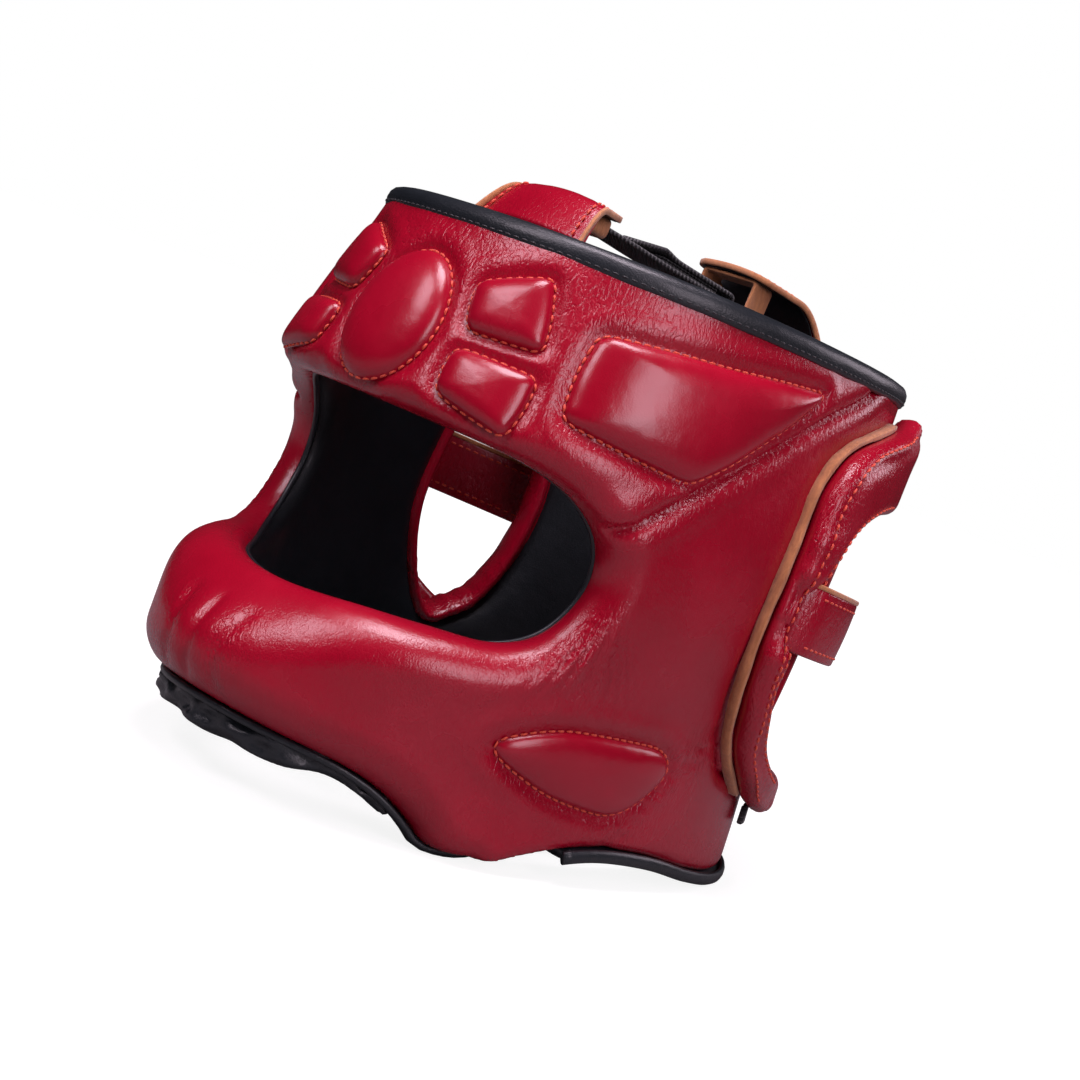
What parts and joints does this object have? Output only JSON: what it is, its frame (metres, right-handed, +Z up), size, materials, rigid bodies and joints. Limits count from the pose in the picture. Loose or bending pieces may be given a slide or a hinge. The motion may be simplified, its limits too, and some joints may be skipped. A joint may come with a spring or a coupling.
{
  "type": "boxing headgear",
  "caption": "Padded red leather boxing headgear with a padded bar across the mouth, black lining, raised pads, wings and openings behind the ears, rear strap, webbing crown strap and chin strap.",
  "frame": {"origin": "on the surface the headgear stands on, in the middle of its overall length and width", "axes": "+X to the wearer's left, the face bar towards -Y, +Z up out of the top of the head"},
  "size_m": [0.2442, 0.2992, 0.2448],
  "materials": {
    "red_leather": "gloss",
    "black_leather": "satin",
    "padding": "matt",
    "stiffener": "matt",
    "black_webbing": "matt",
    "closure": "matt",
    "raw_edge": "matt"
  },
  "bodies": {
    "headgear": {"back_foam": "padding", "back_lining": "black_leather", "back_shell": "red_leather", "bar_core": "stiffener", "bar_foam": "padding", "bar_lining": "black_leather", "centre_pad": "red_leather", "chin_binding": "black_leather", "chin_loop_patch": "closure", "chin_roll": "black_leather", "crown_loop_patch": "closure", "crown_tail_fold": "black_webbing", "crown_webbing": "black_webbing", "forehead_foam": "padding", "forehead_lining": "black_leather", "forehead_shell": "red_leather", "front_crown_flap": "red_leather", "front_flap_lining": "black_leather", "front_keeper": "raw_edge", "left_base_binding": "black_leather", "left_cheek_foam": "padding", "left_cheek_lining": "black_leather", "left_cheek_shell": "red_leather", "left_chin_anchor": "black_webbing", "left_jaw_pad": "red_leather", "left_lower_pad": "red_leather", "left_opening_roll": "red_leather", "left_rear_strap": "red_leather", "left_temple_pad": "red_leather", "left_upper_pad": "red_leather", "left_wing_edge": "raw_edge", "left_wing_foam": "padding", "left_wing_shell": "red_leather", "left_wing_tab": "black_webbing", "rear_crown_flap": "red_leather", "rear_flap_lining": "black_leather", "rear_keeper": "raw_edge", "rear_loop_patch": "closure", "right_base_binding": "black_leather", "right_cheek_foam": "padding", "right_cheek_lining": "black_leather", "right_cheek_shell": "red_leather", "right_chin_anchor": "black_webbing", "right_jaw_pad": "red_leather", "right_lower_pad": "red_leather", "right_opening_roll": "red_leather", "right_rear_strap": "red_leather", "right_temple_pad": "red_leather", "right_upper_pad": "red_leather", "right_wing_edge": "raw_edge", "right_wing_foam": "padding", "right_wing_shell": "red_leather", "right_wing_tab": "black_webbing", "rim_binding": "black_leather"},
    "rear_tab": {"rear_strap_tab": "red_leather", "rear_hook_patch": "closure"},
    "crown_end": {"crown_tail": "black_webbing", "crown_hook_patch": "closure"},
    "chin_band": {"chin_strap": "black_webbing", "chin_hook_patch": "closure"}
  },
  "joints": [
    {"name": "rear_strap_peel", "type": "hinge", "parent": "headgear", "child": "rear_tab", "pos_m": [0.06001, 0.1273, 0.11163], "axis": [0, -0.1021, -0.9948], "range_deg": [0, 75]},
    {"name": "crown_end_peel", "type": "hinge", "parent": "headgear", "child": "crown_end", "pos_m": [0, 0.06358, 0.23217], "axis": [-1, 0, 0], "range_deg": [0, 70]},
    {"name": "chin_strap_release", "type": "hinge", "parent": "headgear", "child": "chin_band", "pos_m": [-0.065, 0.00177, 0.00499], "axis": [0, 0.9948, -0.1021], "range_deg": [0, 95]}
  ]
}
